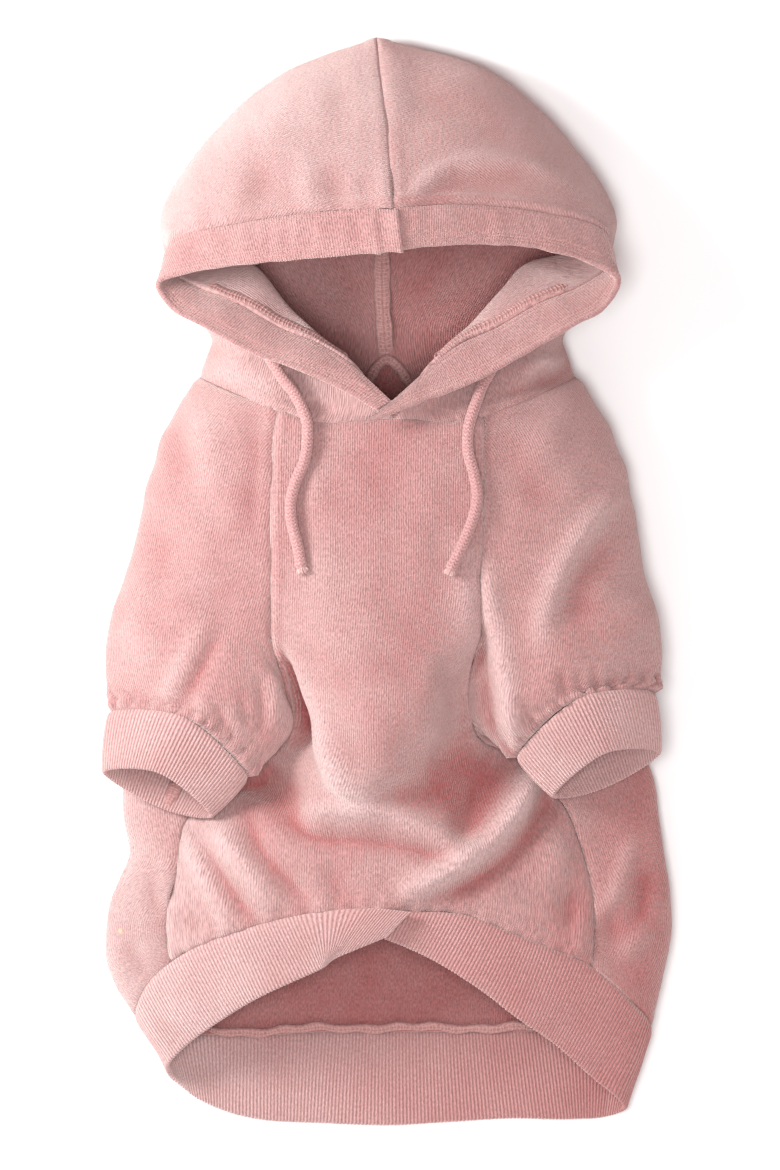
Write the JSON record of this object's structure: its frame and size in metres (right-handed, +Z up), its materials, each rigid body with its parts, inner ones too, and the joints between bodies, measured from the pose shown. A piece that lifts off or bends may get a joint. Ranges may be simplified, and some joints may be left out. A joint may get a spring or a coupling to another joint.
{
  "type": "dog hoodie",
  "caption": "Velour dog hoodie lying on its back: open hood with folded hem, two short sleeves with rib cuffs, belly panel, split rib waistband and two drawcords",
  "frame": {"origin": "on the surface that the garment lies on, under the middle of its bounding box", "axes": "+X across the garment, +Y from the waistband to the crown of the hood, +Z up, away from the surface; the belly side faces up"},
  "size_m": [0.2869, 0.5464, 0.0866],
  "materials": {
    "velour": "dusty pink cotton velour, short nap with fine wales",
    "rib_knit": "dusty pink rib knit, vertical ribs",
    "cord_knit": "dusty pink knitted round cord"
  },
  "bodies": {
    "root": {"hood_left": "velour", "hood_hem_left": "velour", "sleeve_left": "velour", "cuff_left": "rib_knit", "hood_right": "velour", "hood_hem_right": "velour", "sleeve_right": "velour", "cuff_right": "rib_knit", "chest_panel": "velour", "back_panel": "velour", "waistband": "rib_knit", "drawcord_left": "cord_knit", "drawcord_right": "cord_knit"}
  },
  "joints": []
}
